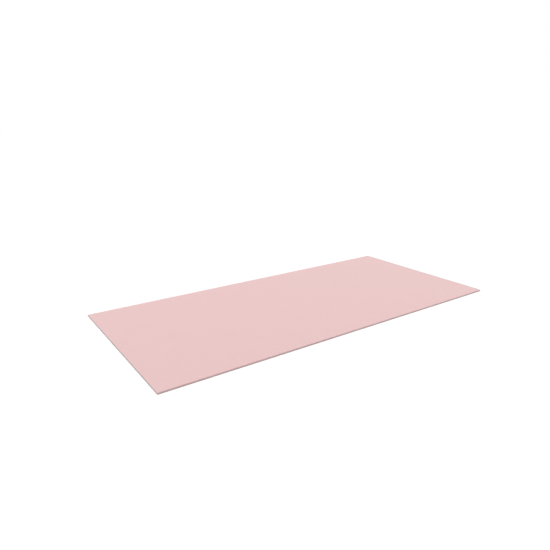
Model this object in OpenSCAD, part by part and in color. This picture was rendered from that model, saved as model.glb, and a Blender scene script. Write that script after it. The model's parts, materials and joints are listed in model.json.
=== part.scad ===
// Paper-faced gypsum drywall sheet, lying flat with its tapered face up.
// X runs along the length, Y across the width and Z through the thickness.
// The origin is under the middle of the sheet, on the surface that it lies on.
// A core of set gypsum is bound on its face and both long edges by one face paper,
// whose flaps fold under the back, where a flat back paper is laid over them.
// The two short ends are saw cut square and show the bare core between the papers.

/* [Sheet] */
// Length of the sheet between its two cut ends
sheet_length = 2600; // [1200:50:3600]
// Width of the sheet over its two paper-bound long edges
sheet_width = 1200; // [600:25:1250]
// Thickness over the flat field of the face, papers included
sheet_thickness = 12.5; // [9.5:0.5:25]

/* [Tapered edge] */
// Width of the margin that tapers down to each long edge, for the joint filler
taper_width = 45; // [35:1:80]
// Drop of the tapered margin, from the flat field to the long edge
taper_depth = 1.6; // [0.6:0.1:2.5]
// Radius of the soft bend where the flat field turns down into the taper
taper_bend_radius = 400; // [100:20:800]
// Radius of the paper's fold from the tapered margin to the long edge
face_fold_radius = 1.5; // [0.8:0.1:2.5]
// Radius of the paper's fold from the long edge to the back
back_fold_radius = 1.5; // [0.8:0.1:2.5]

/* [Papers] */
// Thickness of the face paper
face_paper_thickness = 0.4; // [0.2:0.05:0.6]
// Thickness of the back paper
back_paper_thickness = 0.4; // [0.2:0.05:0.6]
// Width of the face paper's flap folded under each margin of the back
flap_width = 25; // [15:1:40]
// Strip of flap left bare between the back paper and each long edge
back_paper_setback = 9; // [4:1:12]

/* [Smoothness] */
// Flat steps round each fold of the paper
fold_steps = 6; // [3:1:12]
// Flat steps along the soft bend into the taper
bend_steps = 8; // [3:1:16]

/* [Hidden] */
half_width = sheet_width / 2;
flap_end = half_width - flap_width;
back_paper_width = sheet_width - 2 * back_paper_setback;

// The taper is a straight slope that starts where the bend's two tangents cross.
taper_angle = atan(taper_depth / taper_width);
taper_start = half_width - taper_width;

bend_centre = [
    taper_start - taper_bend_radius * tan(taper_angle / 2),
    sheet_thickness - taper_bend_radius
];
face_fold_centre = [
    half_width - face_fold_radius,
    sheet_thickness
        - (face_fold_radius + (taper_width - face_fold_radius) * sin(taper_angle))
        / cos(taper_angle)
];
back_fold_centre = [
    half_width - back_fold_radius,
    back_paper_thickness + back_fold_radius
];

face_pink = [0.92, 0.79, 0.785];
back_grey = [0.80, 0.77, 0.73];
gypsum_white = [0.86, 0.86, 0.85];

// Points round an arc, from one angle to the other
function arc(centre, radius, from, to, steps) = [
    for (i = [0 : steps])
        let (angle = from + (to - from) * i / steps)
        centre + radius * [cos(angle), sin(angle)]
];

function mirrored(points) = [for (p = points) [-p[0], p[1]]];

function reversed(points) = [for (i = [len(points) - 1 : -1 : 0]) points[i]];

// One half of the wrapped outline, from the flap's end under the back, round the
// long edge and up the taper to the flat field, drawn in by an inset
function half_wrap(inset) = concat(
    [[flap_end, back_paper_thickness + inset]],
    arc(back_fold_centre, back_fold_radius - inset, -90, 0, fold_steps),
    arc(face_fold_centre, face_fold_radius - inset, 0, 90 - taper_angle, fold_steps),
    arc(bend_centre, taper_bend_radius - inset, 90 - taper_angle, 90, bend_steps)
);

// The wrapped outline from one flap's end, over the face, to the other
function wrap(inset) = concat(half_wrap(inset), reversed(mirrored(half_wrap(inset))));

// A section in the Y-Z plane, run along the whole length of the sheet
module along_sheet() {
    rotate([90, 0, 90])
        linear_extrude(height = sheet_length, center = true)
            children();
}

// Set gypsum that fills the wrapped outline and the field between the two flaps
module gypsum_core() {
    color(gypsum_white)
        along_sheet()
            polygon(concat(
                wrap(face_paper_thickness),
                [[-flap_end, back_paper_thickness], [flap_end, back_paper_thickness]]
            ));
}

// Paper that covers the face, wraps both long edges and folds under the back
module face_paper() {
    color(face_pink)
        along_sheet()
            polygon(concat(wrap(0), reversed(wrap(face_paper_thickness))));
}

// Flat paper laid over the core's back and the two flaps
module back_paper() {
    color(back_grey)
        along_sheet()
            translate([-back_paper_width / 2, 0])
                square([back_paper_width, back_paper_thickness]);
}

gypsum_core();
face_paper();
back_paper();
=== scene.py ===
"""Finish of a drywall sheet: papers, cut gypsum ends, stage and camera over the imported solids."""
import json
import math

import bpy
import numpy as np
from bpy.props import FloatProperty, FloatVectorProperty, IntProperty, PointerProperty
from mathutils import Matrix, Vector


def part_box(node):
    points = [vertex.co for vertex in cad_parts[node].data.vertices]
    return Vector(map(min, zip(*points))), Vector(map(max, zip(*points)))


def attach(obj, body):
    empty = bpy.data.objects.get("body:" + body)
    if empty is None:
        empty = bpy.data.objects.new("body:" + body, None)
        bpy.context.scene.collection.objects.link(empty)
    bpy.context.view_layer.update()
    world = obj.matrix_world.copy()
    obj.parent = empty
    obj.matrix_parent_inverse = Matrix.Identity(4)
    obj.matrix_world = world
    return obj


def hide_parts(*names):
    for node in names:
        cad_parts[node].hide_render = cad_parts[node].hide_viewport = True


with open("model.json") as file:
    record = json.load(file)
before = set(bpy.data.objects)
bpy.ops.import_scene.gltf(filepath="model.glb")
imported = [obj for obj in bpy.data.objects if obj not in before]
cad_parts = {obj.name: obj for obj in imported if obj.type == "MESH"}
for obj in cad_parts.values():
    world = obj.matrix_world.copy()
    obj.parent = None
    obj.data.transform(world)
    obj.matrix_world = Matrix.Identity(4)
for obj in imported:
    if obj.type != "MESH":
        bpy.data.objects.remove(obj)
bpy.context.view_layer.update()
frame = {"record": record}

bl_info = {
    "name": "Drywall Sheet",
    "version": (1, 0, 0),
    "blender": (4, 5, 0),
    "location": "View3D > Sidebar > Drywall",
    "description": "Finishes a paper-faced drywall sheet over its packed solids and sets its stage",
    "category": "Object",
}

MM = 0.001
BODY = "root"

CORE_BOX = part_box("gypsum_core")
FACE_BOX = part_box("face_paper")
BACK_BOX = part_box("back_paper")
FACE_PAPER = FACE_BOX[1].z - CORE_BOX[1].z
COLOURS = {row["slot"]: row["base_color"] for row in frame["record"]["materials"]}

FACE_SEED = 11
BACK_SEED = 12
PORE_SEED = 7.0


# Settings

class SheetSizes(bpy.types.PropertyGroup):
    """Sizes of the sheet's section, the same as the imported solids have, and of its mesh"""
    taper_width: FloatProperty(
        name="Taper Width", description="Margin that tapers down to each long edge",
        default=45 * MM, unit="LENGTH", precision=4)
    taper_depth: FloatProperty(
        name="Taper Depth", description="Drop from the flat field to the long edge",
        default=1.6 * MM, unit="LENGTH", precision=4)
    taper_bend: FloatProperty(
        name="Taper Bend", description="Radius of the bend from the flat field into the taper",
        default=400 * MM, unit="LENGTH", precision=4)
    fold: FloatProperty(
        name="Paper Fold", description="Radius of the paper's folds along the long edges",
        default=1.5 * MM, unit="LENGTH", precision=4)
    flap: FloatProperty(
        name="Flap Width", description="Face paper folded under each margin of the back",
        default=25 * MM, unit="LENGTH", precision=4)
    fold_steps: IntProperty(
        name="Fold Steps", description="Faces round each paper fold", default=12, min=4)
    bend_steps: IntProperty(
        name="Bend Steps", description="Faces along the bend into the taper", default=8, min=4)
    plain_step: FloatProperty(
        name="Plain Step", description="Longest side of a face away from the cut ends",
        default=50 * MM, unit="LENGTH", precision=4)


class PaperFinish(bpy.types.PropertyGroup):
    """Colours of the two papers and the look of their cut edges"""
    face_colour: FloatVectorProperty(
        name="Face Colour", description="Pink of the face paper",
        default=COLOURS["face_paper"], size=3, subtype="COLOR")
    back_colour: FloatVectorProperty(
        name="Back Colour", description="Grey-buff of the back paper",
        default=COLOURS["back_paper"], size=3, subtype="COLOR")
    cut_step: FloatProperty(
        name="Cut Step", description="Spacing of the points along a cut paper edge",
        default=2 * MM, unit="LENGTH", precision=4)
    fray: FloatProperty(
        name="Fray", description="How far the saw draws the cut paper edge back",
        default=0.25 * MM, unit="LENGTH", precision=5)


class GypsumFinish(bpy.types.PropertyGroup):
    """Colour and saw-cut relief of the bare gypsum"""
    colour: FloatVectorProperty(
        name="Gypsum Colour", description="Pale grey of the cut core",
        default=COLOURS["core"], size=3, subtype="COLOR")
    grain_step: FloatProperty(
        name="Grain Step", description="Spacing of the relief's points on a cut end",
        default=0.9 * MM, unit="LENGTH", precision=5)
    saw_depth: FloatProperty(
        name="Saw Depth", description="Depth of the saw's scoring",
        default=0.12 * MM, unit="LENGTH", precision=5)
    pore_depth: FloatProperty(
        name="Pore Depth", description="Depth of the opened air pores",
        default=0.7 * MM, unit="LENGTH", precision=5)
    pore_spacing: FloatProperty(
        name="Pore Spacing", description="Distance between neighbouring pores",
        default=2.6 * MM, unit="LENGTH", precision=5)
    skin: FloatProperty(
        name="Dense Skin", description="Core without open pores next to the papers",
        default=0.8 * MM, unit="LENGTH", precision=5)


class StageSettings(bpy.types.PropertyGroup):
    """Floor, light and camera"""
    floor_size: FloatProperty(
        name="Floor Size", description="Side of the floor", default=80.0, unit="LENGTH")
    floor_colour: FloatVectorProperty(
        name="Floor Colour", description="Pale floor as it lights the sheet",
        default=(0.62, 0.62, 0.62), size=3, subtype="COLOR")
    floor_lift: FloatProperty(
        name="Floor Lift", description="Glow that keeps the seen floor white", default=0.06)
    key: FloatProperty(
        name="Key Light", description="Share of a level surface's light that the key gives",
        default=0.68)
    sky: FloatProperty(
        name="Sky Light", description="Share of a level surface's light that the room gives",
        default=0.30)
    key_angle: FloatProperty(
        name="Key Softness", description="Angle that the key light spans",
        default=math.radians(50), subtype="ANGLE")
    key_azimuth: FloatProperty(
        name="Key Azimuth", description="Side that the key light comes from, as for the camera",
        default=math.radians(-60), subtype="ANGLE")
    key_elevation: FloatProperty(
        name="Key Elevation", description="Height of the key light above the floor",
        default=math.radians(80), subtype="ANGLE")
    camera_place: FloatVectorProperty(
        name="Camera Place", description="Where the camera stands",
        default=(-2.0254, -2.6199, 1.256), size=3, subtype="TRANSLATION", unit="LENGTH")
    camera_azimuth: FloatProperty(
        name="Camera Azimuth", description="Side that the camera looks from, 0 looking along +Y",
        default=math.radians(-34.93), subtype="ANGLE")
    camera_elevation: FloatProperty(
        name="Camera Elevation", description="How steeply the camera looks down",
        default=math.radians(17.56), subtype="ANGLE")
    lens: FloatProperty(
        name="Lens", description="Focal length", default=32.28, unit="CAMERA")
    sensor: FloatProperty(
        name="Sensor", description="Width of the sensor", default=36.0, unit="CAMERA")


# Section of the sheet

def arc(centre, radius, start, stop, steps):
    """Points round an arc, angles in radians"""
    angles = np.linspace(start, stop, steps + 1)
    return np.array(centre) + radius * np.column_stack([np.cos(angles), np.sin(angles)])


def half_wrap(sizes, inset):
    """Half of the wrapped outline, from the flap's end round the long edge to the flat field"""
    low, high = FACE_BOX
    slope = math.atan(sizes.taper_depth / sizes.taper_width)
    bend_centre = (
        high.y - sizes.taper_width - sizes.taper_bend * math.tan(slope / 2),
        high.z - sizes.taper_bend)
    drop = sizes.fold + (sizes.taper_width - sizes.fold) * math.sin(slope)
    face_fold = (high.y - sizes.fold, high.z - drop / math.cos(slope))
    back_fold = (high.y - sizes.fold, low.z + sizes.fold)
    upright = math.pi / 2
    return np.concatenate([
        [(high.y - sizes.flap, low.z + inset)],
        arc(back_fold, sizes.fold - inset, -upright, 0, sizes.fold_steps),
        arc(face_fold, sizes.fold - inset, 0, upright - slope, sizes.fold_steps),
        arc(bend_centre, sizes.taper_bend - inset, upright - slope, upright, sizes.bend_steps),
    ])


def wrap(sizes, inset):
    """The wrapped outline from one flap's end, over the face, to the other"""
    half = half_wrap(sizes, inset)
    return np.concatenate([half, half[::-1] * (-1, 1)])


def split_long_steps(outline, step):
    """An outline with points added where its first two columns step too far, and its own points' places"""
    rows = []
    places = [0]
    for start, stop in zip(outline[:-1], outline[1:]):
        count = max(1, math.ceil(np.linalg.norm((stop - start)[:2]) / step))
        rows.append(np.linspace(start, stop, count, endpoint=False))
        places.append(places[-1] + count)
    return np.concatenate([*rows, outline[-1:]]), np.array(places)


def closed_ring(strip):
    """Outline round a strip, from its matching outer and inner points"""
    return np.concatenate([strip[:, :2], strip[::-1, 2:]])


def spaced_out(values, gap):
    """Values in order, without those that come too close below a larger one"""
    kept = []
    for value in sorted(values, reverse=True):
        if not kept or kept[-1] - value >= gap:
            kept.append(value)
    return np.array(kept[::-1])


# Bake maps

BAKE_MAP = "OFBake"    # UV map laid out so that a piece's materials can be baked through it
MAP_RIM = 0.002        # bare rim of a map
SEEN_SHARE = 0.96      # share of a paper's map that its outer side takes, round the paper
CUT_SHARE = 0.008      # share of a paper's map that each cut edge takes, along the sheet
HIDDEN_SHARE = 0.04    # share of the core's map that its covered sides take
END_STRIPS = 6         # strips that a cut end is laid out in, so that its grain stays sharp
STRIP_GAP = 0.15       # share of a strip's room left bare above it, and as much below
STRIP_RIM = 0.008      # share of the core's map left bare at each end of a strip


def between(low, high, share):
    """Value that lies a share of the way from low to high"""
    return low + (high - low) * share


def way_round(outline):
    """Share of the way round a closed outline at each of its points, and 1 back at the first"""
    legs = np.linalg.norm(np.roll(outline, -1, axis=0) - outline, axis=1)
    return np.append(0.0, np.cumsum(legs)) / legs.sum()


def way_along(vertices, faces):
    """Share of the way along the sheet at each corner of the faces"""
    low, high = CORE_BOX
    return (vertices[np.concatenate(faces), 0] - low.x) / (high.x - low.x)


def paper_map(turns, along, outline, outer):
    """Map places of a paper's face corners: its sides, and then its cut edges

    The sides' corners are given by their shares of the way round and along. The first points of the
    outline, as many as outer says, lie on the outer side. The cut edges carry on from that side.
    """
    way = way_round(outline)
    parts = (0.0, way[outer - 1], 1.0)
    room = (MAP_RIM, SEEN_SHARE, 1 - MAP_RIM)
    first, last = MAP_RIM + CUT_SHARE, 1 - MAP_RIM - CUT_SHARE
    sides = np.column_stack([np.interp(turns, parts, room), between(first, last, along)])
    across = np.interp(way[:outer], parts, room)
    cuts = []
    for left, right in zip(across[:-1], across[1:]):
        for low, high in ((MAP_RIM, first), (last, 1 - MAP_RIM)):
            cuts += [(left, low), (right, low), (right, high), (left, high)]
    return np.concatenate([sides, cuts])


def end_strips(corners, side):
    """Map places of a cut end's face corners, in strips above each other

    A strip lies as it is seen from outside. The end on side -1 takes the lower half of the map, and the
    end on side 1 the upper half.
    """
    low, high = CORE_BOX
    along = (corners[:, :, 0] - low.y) / (high.y - low.y) * END_STRIPS
    up = (corners[:, :, 1] - low.z) / (high.z - low.z)
    strip = np.floor(along.mean(axis=1, keepdims=True))
    share = along - strip if side > 0 else strip + 1 - along
    storey = strip + END_STRIPS if side > 0 else strip
    across = between(HIDDEN_SHARE + STRIP_RIM, 1 - STRIP_RIM, share)
    height = (storey + between(STRIP_GAP, 1 - STRIP_GAP, up)) / (2 * END_STRIPS)
    return np.stack([across, height], axis=-1).reshape(-1, 2)


def core_map(turns, along, start, finish):
    """Map places of the core's face corners: its covered sides, and then its two cut ends"""
    sides = np.column_stack([
        between(MAP_RIM, HIDDEN_SHARE, turns), between(MAP_RIM, 1 - MAP_RIM, along)])
    return np.concatenate([sides, end_strips(start, -1), end_strips(finish, 1)])


# Meshes

SHARP_ANGLE = math.radians(35)
FRAY_RARITY = 2             # power that makes deep fraying rarer than shallow
CURVED_WIDTH = 1.5 * MM     # faces narrower than this belong to a fold or bend
FLAP_STEP = 0.05 * MM       # sideways run of the core's step over a flap's end
LEAST_COLUMN = 0.02 * MM    # narrowest column of faces on a cut end


def sleeve(fine, coarse, places, step):
    """Sides of a piece as long as the sheet, with a fine outline at its ends and a coarse one between

    The outlines run anticlockwise, seen from +X, and places says where the coarse points are on the
    fine one. Gives vertices, faces, which of the faces are curved, and each face corner's share of the
    way round.
    """
    low, high = CORE_BOX
    spans = math.ceil((high.x - low.x) / step)
    rows = [fine, *[coarse] * (spans - 1), fine]
    stations = np.linspace(low.x, high.x, spans + 1)
    vertices = np.concatenate([np.insert(row, 0, x, axis=1) for row, x in zip(rows, stations)])
    around = len(fine)
    way = way_round(fine)
    sides = list(zip(places, [*places[1:], around]))
    fine_legs = [(np.arange(a, b + 1) % around, way[a:b + 1]) for a, b in sides]
    coarse_legs = [
        (np.array([k, (k + 1) % len(coarse)]), way[[a, b]]) for k, (a, b) in enumerate(sides)]
    legs = [fine_legs, *[coarse_legs] * (spans - 1), fine_legs]
    starts = np.cumsum([0, *(len(row) for row in rows)])
    faces = []
    turns = []
    for span in range(spans):
        for (near, near_turns), (far, far_turns) in zip(legs[span], legs[span + 1]):
            faces.append([*(starts[span] + near).tolist(), *(starts[span + 1] + far[::-1]).tolist()])
            turns += [*near_turns, *far_turns[::-1]]
    widths = np.linalg.norm(np.roll(coarse, -1, axis=0) - coarse, axis=1)
    return vertices, faces, np.tile(widths < CURVED_WIDTH, spans), np.array(turns)


def paper_strip(outer, inner, sizes, finish, seed):
    """Closed strip of paper along the sheet, drawn back a little where the saw cut its ends

    Gives vertices, faces, which of them are smooth, and each face corner's map place.
    """
    coarse, _ = split_long_steps(np.hstack([outer, inner]), sizes.plain_step)
    fine, places = split_long_steps(coarse, finish.cut_step)
    around = 2 * len(fine)
    corners = np.concatenate([places, around - 1 - places[::-1]])
    ring = closed_ring(fine)
    vertices, faces, curved, turns = sleeve(ring, closed_ring(coarse), corners, sizes.plain_step)
    last = len(vertices) - around
    draws = np.random.default_rng(seed)
    for start, inward in ((0, 1), (last, -1)):
        back = draws.random(len(fine)) ** FRAY_RARITY * finish.fray
        vertices[start:start + around, 0] += inward * np.concatenate([back, back[::-1]])
    laid = paper_map(turns, way_along(vertices, faces), ring, len(fine))
    for i in range(len(fine) - 1):
        mate = around - 1 - i
        faces.append([mate, mate - 1, i + 1, i])
        faces.append([last + i, last + i + 1, last + mate - 1, last + mate])
    smooth = np.concatenate([curved, np.zeros(len(faces) - len(curved), dtype=bool)])
    return vertices, faces, smooth, laid


def core_columns(sizes, finish):
    """Columns of a grid over the core's section with their lower and upper ends, and its corners"""
    low, high = CORE_BOX
    half = half_wrap(sizes, FACE_PAPER)
    turn = sizes.fold_steps + 2    # the flap's end and the back fold come before the outline turns
    under = np.concatenate([[(0.0, low.z), (half[0][0] - FLAP_STEP, low.z)], half[:turn]])
    over = np.concatenate([half[turn:], [(0.0, high.z)]])[::-1]
    plain = np.arange(0.0, over[1][0], sizes.plain_step)
    corners = spaced_out(np.concatenate([under[:, 0], over[:, 0], plain]), LEAST_COLUMN)
    corners = np.concatenate([-corners[:0:-1], corners])
    across, places = split_long_steps(corners[:, None], finish.grain_step)
    across = across[:, 0]
    lower = np.interp(np.abs(across), under[:, 0], under[:, 1])
    upper = np.interp(np.abs(across), over[:, 0], over[:, 1])
    return across, lower, upper, places


def core_slab(sizes, finish):
    """Closed slab of gypsum with a fine grid on its cut ends

    Gives vertices, faces, which of them are smooth, each face corner's map place, and each vertex's
    distance from the papers.
    """
    low, high = CORE_BOX
    across, lower, upper, places = core_columns(sizes, finish)
    columns = len(across)
    rows = math.ceil((high.z - low.z) / finish.grain_step) + 1
    share = np.linspace(0, 1, rows)
    tall = (upper - lower)[:, None]
    points = np.column_stack([np.repeat(across, rows), (lower[:, None] + tall * share).ravel()])
    from_edge = (high.y - np.abs(across))[:, None]
    depth = np.minimum(np.minimum(share, 1 - share) * tall, from_edge).ravel()

    index = np.arange(columns * rows).reshape(columns, rows)
    cells = np.stack([index[:-1, :-1], index[:-1, 1:], index[1:, 1:], index[1:, :-1]], axis=-1)
    cells = cells.reshape(-1, 4)
    rim = np.concatenate([index[:, 0], index[-1, 1:], index[-2::-1, -1], index[0, -2:0:-1]])
    inside = np.setdiff1d(index, rim)
    corners = np.concatenate([places, 2 * (columns - 1) + rows - 1 - places[::-1]])
    vertices, faces, curved, turns = sleeve(
        points[rim], points[rim[corners]], corners, sizes.plain_step)
    laid = core_map(turns, way_along(vertices, faces), points[cells], points[cells[:, ::-1]])

    distance = np.concatenate([np.zeros(len(vertices)), depth[inside], depth[inside]])
    last = len(vertices) - len(rim)
    for start, x, order in ((0, low.x, 1), (last, high.x, -1)):
        place = np.empty(len(points), dtype=int)
        place[rim] = start + np.arange(len(rim))
        place[inside] = len(vertices) + np.arange(len(inside))
        vertices = np.concatenate([vertices, np.insert(points[inside], 0, x, axis=1)])
        faces += place[cells][:, ::order].tolist()
    smooth = np.concatenate([curved, np.ones(2 * len(cells), dtype=bool)])
    return vertices, faces, smooth, laid, distance


def new_piece(name, vertices, faces, smooth, laid, material):
    """Object whose mesh lies in its place, sharp where faces meet at a clear angle, with its bake map"""
    mesh = bpy.data.meshes.new(name)
    mesh.from_pydata(vertices.tolist(), [], faces)
    mesh.polygons.foreach_set("use_smooth", smooth)
    mesh.uv_layers.new(name=BAKE_MAP).uv.foreach_set("vector", laid.ravel())
    mesh.set_sharp_from_angle(angle=SHARP_ANGLE)
    mesh.materials.append(material)
    mesh.validate()
    piece = bpy.data.objects.new(name, mesh)
    bpy.context.scene.collection.objects.link(piece)
    return piece


def stand_for(piece, node):
    """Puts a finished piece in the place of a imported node"""
    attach(piece, BODY)
    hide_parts(node)


# Node helpers

MIX_SHARE, MIX_FIRST, MIX_SECOND, MIX_RESULT = 0, 6, 7, 2    # a Mix node's colour sockets


def set_input(tree, socket, value):
    """Links a socket to an input, or gives the input a value"""
    if isinstance(value, bpy.types.NodeSocket):
        tree.links.new(value, socket)
    else:
        socket.default_value = value


def add_node(tree, kind, inputs=None, **settings):
    """A node with its settings, and with its inputs set by name or number"""
    node = tree.nodes.new(kind)
    for name, value in settings.items():
        setattr(node, name, value)
    for key, value in (inputs or {}).items():
        set_input(tree, node.inputs[key], value)
    return node


def maths(tree, operation, first, second=0.0):
    """Result of an operation on values or sockets"""
    return add_node(tree, "ShaderNodeMath", {0: first, 1: second}, operation=operation).outputs[0]


def eased(tree, value, low, high, to_low=0.0, to_high=1.0):
    """Value brought smoothly from one span to another"""
    node = add_node(
        tree, "ShaderNodeMapRange", interpolation_type="SMOOTHSTEP",
        inputs={"Value": value, "From Min": low, "From Max": high, "To Min": to_low, "To Max": to_high})
    return node.outputs["Result"]


def blended(tree, share, first, second):
    """Colour between two"""
    node = add_node(
        tree, "ShaderNodeMix", data_type="RGBA",
        inputs={MIX_SHARE: share, MIX_FIRST: first, MIX_SECOND: second})
    return node.outputs[MIX_RESULT]


def shaded(colour, factor):
    """Colour made darker or lighter by a factor, with its alpha"""
    return (*(min(1.0, channel * factor) for channel in colour), 1.0)


def new_group(name, kind, inputs, outputs):
    """Empty node group with named sockets"""
    tree = bpy.data.node_groups.new(name, kind)
    for title, socket, default in inputs:
        made = tree.interface.new_socket(title, in_out="INPUT", socket_type=socket)
        if default is not None:
            made.default_value = default
    for title, socket in outputs:
        tree.interface.new_socket(title, in_out="OUTPUT", socket_type=socket)
    return tree, tree.nodes.new("NodeGroupInput").outputs, tree.nodes.new("NodeGroupOutput").inputs


# Materials

CLOUD_SIZE = 120 * MM
FIBRE_SIZE = 0.8 * MM
FIBRE_STRETCH = (6.0, 1.0, 1.0)    # how much longer than wide a fibre is
FIBRE_TURNS = tuple(math.radians(turn) for turn in (8, 65, 127))    # ways that the fibres lie
FIBRE_LOW, FIBRE_HIGH = 0.36, 0.76    # span of the topmost fibres' values
FIBRE_BUMP = 0.25
FLECK_SPACING = 6 * MM
FLECK_CORE, FLECK_EDGE = 0.10, 0.16    # where a fleck starts and stops fading, in spacings
FLECK_PICK = 0.6                   # cells drawn above this hold a fleck
FLECK_SHADE = 0.6

GRAIN_SIZE = 1.1 * MM
GRAIN_SPREAD = 0.1                 # how much darker and lighter than the core the grains go
GRAIN_RELIEF = 0.2 * MM
GRAIN_BUMP = 0.5
# Pits are painted shade: darker dots that stand for the shade inside the core's small pores
PIT_SPACING = 1.4 * MM
PIT_CORE, PIT_EDGE = 0.12, 0.30    # where a pit starts and stops fading, in spacings
PIT_RARITY = 2.0                   # power that makes dark pits rarer than faint ones
PIT_SHADE = 0.4


def paper_formation_group():
    """Cloudiness, crossing fibres and flecks of machine-made paper, on coordinates in metres"""
    name = "paper_formation"
    if name in bpy.data.node_groups:
        return bpy.data.node_groups[name]
    tree, given, result = new_group(
        name, "ShaderNodeTree",
        [("Vector", "NodeSocketVector", None), ("Cloud Size", "NodeSocketFloat", CLOUD_SIZE),
         ("Fibre Size", "NodeSocketFloat", FIBRE_SIZE),
         ("Fleck Spacing", "NodeSocketFloat", FLECK_SPACING)],
        [("Cloud", "NodeSocketFloat"), ("Fibre", "NodeSocketFloat"), ("Fleck", "NodeSocketFloat")])
    cloud = add_node(tree, "ShaderNodeTexNoise", {
        "Vector": given["Vector"], "Scale": maths(tree, "DIVIDE", 1.0, given["Cloud Size"]),
        "Detail": 4.0, "Roughness": 0.6})
    fibre_scale = maths(tree, "DIVIDE", 1.0, given["Fibre Size"])
    topmost = 0.0
    for turn in FIBRE_TURNS:
        drawn = add_node(
            tree, "ShaderNodeMapping", vector_type="TEXTURE",
            inputs={"Vector": given["Vector"], "Rotation": (0.0, 0.0, turn), "Scale": FIBRE_STRETCH})
        fibre = add_node(
            tree, "ShaderNodeTexNoise", noise_dimensions="4D",
            inputs={"Vector": drawn.outputs["Vector"], "W": turn, "Scale": fibre_scale,
                    "Detail": 2.0, "Distortion": 0.4})
        topmost = maths(tree, "MAXIMUM", fibre.outputs["Fac"], topmost)
    cells = add_node(tree, "ShaderNodeTexVoronoi", {
        "Vector": given["Vector"], "Scale": maths(tree, "DIVIDE", 1.0, given["Fleck Spacing"])})
    spot = eased(tree, cells.outputs["Distance"], FLECK_CORE, FLECK_EDGE, 1.0, 0.0)
    draw = add_node(tree, "ShaderNodeSeparateColor", {"Color": cells.outputs["Color"]})
    picked = maths(tree, "GREATER_THAN", draw.outputs["Red"], FLECK_PICK)
    set_input(tree, result["Cloud"], cloud.outputs["Fac"])
    set_input(tree, result["Fibre"], eased(tree, topmost, FIBRE_LOW, FIBRE_HIGH))
    set_input(tree, result["Fleck"], maths(tree, "MULTIPLY", spot, picked))
    return tree


def new_material(name, roughness, specular):
    """Material with a Principled shader ready for its colour and relief"""
    material = bpy.data.materials.new(name)
    material.use_nodes = True
    shader = material.node_tree.nodes["Principled BSDF"].inputs
    shader["Roughness"].default_value = roughness
    shader["Specular IOR Level"].default_value = specular
    return material, material.node_tree, shader


def object_place(tree):
    """Coordinates on the piece, in metres"""
    return tree.nodes.new("ShaderNodeTexCoord").outputs["Object"]


def paper_material(name, colour, roughness, cloud, fibre, fleck, relief):
    """Matte paper whose tone varies a little with its clouds, fibres and flecks"""
    material, tree, shader = new_material(name, roughness, specular=0.5)
    formation = add_node(
        tree, "ShaderNodeGroup", {"Vector": object_place(tree)},
        node_tree=paper_formation_group()).outputs
    spread = cloud + fibre
    tone = maths(
        tree, "ADD", maths(tree, "MULTIPLY", formation["Cloud"], cloud / spread),
        maths(tree, "MULTIPLY", formation["Fibre"], fibre / spread))
    toned = blended(tree, tone, shaded(colour, 1 - spread), shaded(colour, 1 + spread))
    fleck_share = maths(tree, "MULTIPLY", formation["Fleck"], fleck)
    set_input(tree, shader["Base Color"], blended(tree, fleck_share, toned, shaded(colour, FLECK_SHADE)))
    bump = add_node(
        tree, "ShaderNodeBump",
        {"Strength": FIBRE_BUMP, "Distance": relief, "Height": formation["Fibre"]})
    set_input(tree, shader["Normal"], bump.outputs["Normal"])
    return material


def gypsum_material(name, colour, skin):
    """Chalky cut gypsum with a fine grain, and pits inside its dense skin darkened with painted shade"""
    material, tree, shader = new_material(name, roughness=0.95, specular=0.15)
    place = object_place(tree)
    grain = add_node(tree, "ShaderNodeTexNoise", {
        "Vector": place, "Scale": 1 / GRAIN_SIZE, "Detail": 5.0, "Roughness": 0.7})
    grained = blended(
        tree, grain.outputs["Fac"], shaded(colour, 1 - GRAIN_SPREAD), shaded(colour, 1 + GRAIN_SPREAD))
    # Painted shade in the pits: the core's colour is darkened toward a shaded copy in small dots
    pits = add_node(tree, "ShaderNodeTexVoronoi", {"Vector": place, "Scale": 1 / PIT_SPACING})
    draw = add_node(tree, "ShaderNodeSeparateColor", {"Color": pits.outputs["Color"]})
    strength = maths(tree, "POWER", draw.outputs["Red"], PIT_RARITY)
    pit = maths(
        tree, "MULTIPLY", eased(tree, pits.outputs["Distance"], PIT_CORE, PIT_EDGE, 1.0, 0.0), strength)
    from_paper = add_node(tree, "ShaderNodeAttribute", attribute_name="from_paper")
    inside = eased(tree, from_paper.outputs["Fac"], 0.0, skin)
    pit_shaded = blended(tree, maths(tree, "MULTIPLY", pit, inside), grained, shaded(colour, PIT_SHADE))
    set_input(tree, shader["Base Color"], pit_shaded)
    bump = add_node(
        tree, "ShaderNodeBump",
        {"Strength": GRAIN_BUMP, "Distance": GRAIN_RELIEF, "Height": grain.outputs["Fac"]})
    set_input(tree, shader["Normal"], bump.outputs["Normal"])
    return material


# Geometry nodes

SAW_MARK_SIZE = 2.4 * MM
SAW_MARK_STRETCH = (1.0, 1.0, 0.12)    # the marks run through the thickness
PORE_CORE, PORE_EDGE = 0.12, 0.42      # where a pore starts and stops fading, in spacings
PORE_RARITY = 2.0                      # power that makes deep pores rarer than shallow ones


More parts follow.
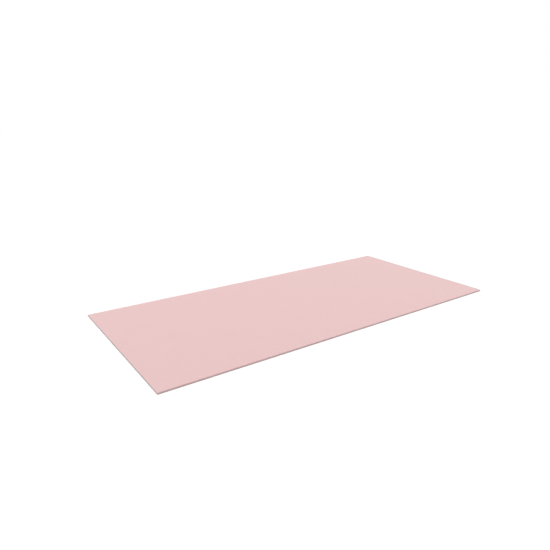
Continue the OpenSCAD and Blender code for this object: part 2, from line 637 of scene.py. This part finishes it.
def cut_end_tree(material):
    """Saw marks and opened pores, drawn into the two cut ends but not into their dense skin"""
    sizes = ("Saw Depth", "Pore Depth", "Pore Spacing", "Skin", "Seed")
    tree, given, result = new_group(
        "cut_end_relief", "GeometryNodeTree",
        [("Geometry", "NodeSocketGeometry", None), *((size, "NodeSocketFloat", None) for size in sizes)],
        [("Geometry", "NodeSocketGeometry")])
    place = tree.nodes.new("GeometryNodeInputPosition").outputs[0]
    stretched = add_node(
        tree, "ShaderNodeVectorMath", {0: place, 1: SAW_MARK_STRETCH}, operation="MULTIPLY")
    saw = add_node(
        tree, "ShaderNodeTexNoise", noise_dimensions="4D",
        inputs={"Vector": stretched.outputs[0], "W": given["Seed"],
                "Scale": 1 / SAW_MARK_SIZE, "Detail": 3.0})
    pores = add_node(
        tree, "ShaderNodeTexVoronoi", voronoi_dimensions="4D",
        inputs={"Vector": place, "W": given["Seed"],
                "Scale": maths(tree, "DIVIDE", 1.0, given["Pore Spacing"])})
    pit = eased(tree, pores.outputs["Distance"], PORE_CORE, PORE_EDGE, 1.0, 0.0)
    draw = add_node(tree, "FunctionNodeSeparateColor", {0: pores.outputs["Color"]})
    size = maths(tree, "POWER", draw.outputs[0], PORE_RARITY)
    pore = maths(tree, "MULTIPLY", maths(tree, "MULTIPLY", pit, size), given["Pore Depth"])
    mark = maths(tree, "MULTIPLY", saw.outputs[0], given["Saw Depth"])
    from_paper = add_node(
        tree, "GeometryNodeInputNamedAttribute", {"Name": "from_paper"}, data_type="FLOAT")
    inside = eased(tree, from_paper.outputs[0], 0.0, given["Skin"])
    depth = maths(tree, "MULTIPLY", maths(tree, "ADD", pore, mark), inside)
    end = add_node(tree, "ShaderNodeSeparateXYZ", {0: place}).outputs[0]
    inward = maths(tree, "MULTIPLY", maths(tree, "SIGN", end), -1.0)
    offset = add_node(tree, "ShaderNodeCombineXYZ", {0: maths(tree, "MULTIPLY", depth, inward)})
    moved = add_node(
        tree, "GeometryNodeSetPosition", {"Geometry": given["Geometry"], "Offset": offset.outputs[0]})
    real = add_node(tree, "GeometryNodeRealizeInstances", {"Geometry": moved.outputs["Geometry"]})
    dressed = add_node(
        tree, "GeometryNodeSetMaterial", {"Geometry": real.outputs["Geometry"], "Material": material})
    set_input(tree, result["Geometry"], dressed.outputs["Geometry"])
    return tree


def run_tree(piece, tree, values):
    """Runs a node tree on a piece with its inputs set, and keeps the result as a plain mesh"""
    modifier = piece.modifiers.new(tree.name, "NODES")
    modifier.node_group = tree
    for item in tree.interface.items_tree:
        if item.in_out == "INPUT" and item.name in values:
            modifier[item.identifier] = values[item.name]
    graph = bpy.context.evaluated_depsgraph_get()
    mesh = bpy.data.meshes.new_from_object(piece.evaluated_get(graph))
    piece.modifiers.remove(modifier)
    piece.data = mesh


# Stage

WHITE = (1.0, 1.0, 1.0, 1.0)
FLOOR_GAP = 0.05 * MM      # floor kept just clear of the back paper
FAR_CLIP = 200.0


def direction(azimuth, elevation):
    """Unit vector towards a viewer or lamp on that side, azimuth 0 standing at -Y"""
    flat = math.cos(elevation)
    return Vector((math.sin(azimuth) * flat, -math.cos(azimuth) * flat, math.sin(elevation)))


def facing(back):
    """Turn whose local Z points along back, with local X level"""
    right = Vector((0, 0, 1)).cross(back).normalized()
    return Matrix((right, back.cross(right), back)).transposed()


def seen_directly(tree):
    """1 for rays that see the backdrop from the camera, in gloss or through glass"""
    path = tree.nodes.new("ShaderNodeLightPath").outputs
    gloss = maths(tree, "MAXIMUM", path["Is Glossy Ray"], path["Is Transmission Ray"])
    return maths(tree, "MAXIMUM", path["Is Camera Ray"], gloss)


def make_floor(scene, stage):
    """Matte floor that looks white and lights the sheet as a pale one"""
    half = stage.floor_size / 2
    corners = [(x * half, y * half, -FLOOR_GAP) for x, y in ((-1, -1), (1, -1), (1, 1), (-1, 1))]
    mesh = bpy.data.meshes.new("floor")
    mesh.from_pydata(corners, [], [(0, 1, 2, 3)])
    material, tree, shader = new_material("pale_floor", roughness=1.0, specular=0.0)
    seen = seen_directly(tree)
    set_input(tree, shader["Base Color"], blended(tree, seen, (*stage.floor_colour, 1.0), WHITE))
    set_input(tree, shader["Emission Color"], WHITE)
    set_input(tree, shader["Emission Strength"], maths(tree, "MULTIPLY", seen, stage.floor_lift))
    mesh.materials.append(material)
    floor = bpy.data.objects.new("floor", mesh)
    scene.collection.objects.link(floor)


def make_room_light(scene, stage):
    """Even white room that is seen at full white and lights the sheet less"""
    world = bpy.data.worlds.new("studio")
    world.use_nodes = True
    background = world.node_tree.nodes["Background"].inputs
    background["Color"].default_value = WHITE
    strength = eased(world.node_tree, seen_directly(world.node_tree), 0.0, 1.0, stage.sky, 1.0)
    set_input(world.node_tree, background["Strength"], strength)
    scene.world = world


def make_key_light(scene, stage):
    """Large soft lamp overhead"""
    lamp = bpy.data.lights.new("key", "SUN")
    lamp.angle = stage.key_angle
    lamp.energy = math.pi * stage.key / math.sin(stage.key_elevation)
    key = bpy.data.objects.new("key", lamp)
    key.matrix_world = facing(direction(stage.key_azimuth, stage.key_elevation)).to_4x4()
    scene.collection.objects.link(key)


def make_camera(scene, stage):
    """Camera at the photograph's viewing angle"""
    data = bpy.data.cameras.new("camera")
    data.lens = stage.lens
    data.sensor_width = stage.sensor
    data.clip_end = FAR_CLIP
    camera = bpy.data.objects.new("camera", data)
    turn = facing(direction(stage.camera_azimuth, stage.camera_elevation)).to_4x4()
    camera.matrix_world = Matrix.Translation(stage.camera_place) @ turn
    scene.collection.objects.link(camera)
    scene.camera = camera


# Operators

class DRYWALL_OT_face_paper(bpy.types.Operator):
    """Make the pink paper over the face, round the long edges and under the margins of the back"""
    bl_idname = "drywall.face_paper"
    bl_label = "Face Paper"

    def execute(self, context):
        sizes = context.scene.drywall_sizes
        finish = context.scene.drywall_paper
        strip = paper_strip(wrap(sizes, 0.0), wrap(sizes, FACE_PAPER), sizes, finish, FACE_SEED)
        material = paper_material(
            "pink_face_paper", finish.face_colour, roughness=0.5,
            cloud=0.02, fibre=0.04, fleck=0.12, relief=0.05 * MM)
        piece = new_piece("face_paper_sheet", *strip, material)
        stand_for(piece, "face_paper")
        return {"FINISHED"}


class DRYWALL_OT_back_paper(bpy.types.Operator):
    """Make the grey-buff paper on the back"""
    bl_idname = "drywall.back_paper"
    bl_label = "Back Paper"

    def execute(self, context):
        sizes = context.scene.drywall_sizes
        finish = context.scene.drywall_paper
        low, high = BACK_BOX
        outer = np.array([(low.y, low.z), (high.y, low.z)])
        inner = np.array([(low.y, high.z), (high.y, high.z)])
        strip = paper_strip(outer, inner, sizes, finish, BACK_SEED)
        material = paper_material(
            "buff_back_paper", finish.back_colour, roughness=0.8,
            cloud=0.05, fibre=0.06, fleck=0.35, relief=0.06 * MM)
        piece = new_piece("back_paper_sheet", *strip, material)
        stand_for(piece, "back_paper")
        return {"FINISHED"}


class DRYWALL_OT_gypsum_core(bpy.types.Operator):
    """Make the gypsum core with its saw-cut, porous ends"""
    bl_idname = "drywall.gypsum_core"
    bl_label = "Gypsum Core"

    def execute(self, context):
        finish = context.scene.drywall_gypsum
        *slab, distance = core_slab(context.scene.drywall_sizes, finish)
        material = gypsum_material("cut_gypsum", finish.colour, finish.skin)
        piece = new_piece("gypsum_core_slab", *slab, material)
        piece.data.attributes.new("from_paper", "FLOAT", "POINT").data.foreach_set("value", distance)
        run_tree(piece, cut_end_tree(material), {
            "Saw Depth": finish.saw_depth, "Pore Depth": finish.pore_depth,
            "Pore Spacing": finish.pore_spacing, "Skin": finish.skin, "Seed": PORE_SEED})
        stand_for(piece, "gypsum_core")
        return {"FINISHED"}


class DRYWALL_OT_stage(bpy.types.Operator):
    """Set the floor, the light and the camera"""
    bl_idname = "drywall.stage"
    bl_label = "Stage"

    def execute(self, context):
        scene = context.scene
        stage = scene.drywall_stage
        scene.view_settings.view_transform = "Standard"
        make_floor(scene, stage)
        make_room_light(scene, stage)
        make_key_light(scene, stage)
        make_camera(scene, stage)
        return {"FINISHED"}


# Add-on

class DRYWALL_PT_sheet(bpy.types.Panel):
    """Lists the sheet's pieces, its stage and their settings"""
    bl_label = "Drywall Sheet"
    bl_idname = "DRYWALL_PT_sheet"
    bl_space_type = "VIEW_3D"
    bl_region_type = "UI"
    bl_category = "Drywall"

    def draw(self, context):
        for operator in OPERATORS:
            self.layout.operator(operator.bl_idname)
        for name, group in SETTINGS.items():
            box = self.layout.box()
            for setting in group.__annotations__:
                box.prop(getattr(context.scene, name), setting)


SETTINGS = {
    "drywall_sizes": SheetSizes,
    "drywall_paper": PaperFinish,
    "drywall_gypsum": GypsumFinish,
    "drywall_stage": StageSettings,
}
OPERATORS = (
    DRYWALL_OT_face_paper,
    DRYWALL_OT_back_paper,
    DRYWALL_OT_gypsum_core,
    DRYWALL_OT_stage,
)
CLASSES = (*SETTINGS.values(), *OPERATORS, DRYWALL_PT_sheet)


def register():
    for cls in CLASSES:
        bpy.utils.register_class(cls)
    for name, group in SETTINGS.items():
        setattr(bpy.types.Scene, name, PointerProperty(type=group))


def unregister():
    for name in SETTINGS:
        delattr(bpy.types.Scene, name)
    for cls in reversed(CLASSES):
        bpy.utils.unregister_class(cls)


def main():
    register()
    bpy.ops.drywall.face_paper()
    bpy.ops.drywall.back_paper()
    bpy.ops.drywall.gypsum_core()
    bpy.ops.drywall.stage()


if __name__ == "__main__":
    main()
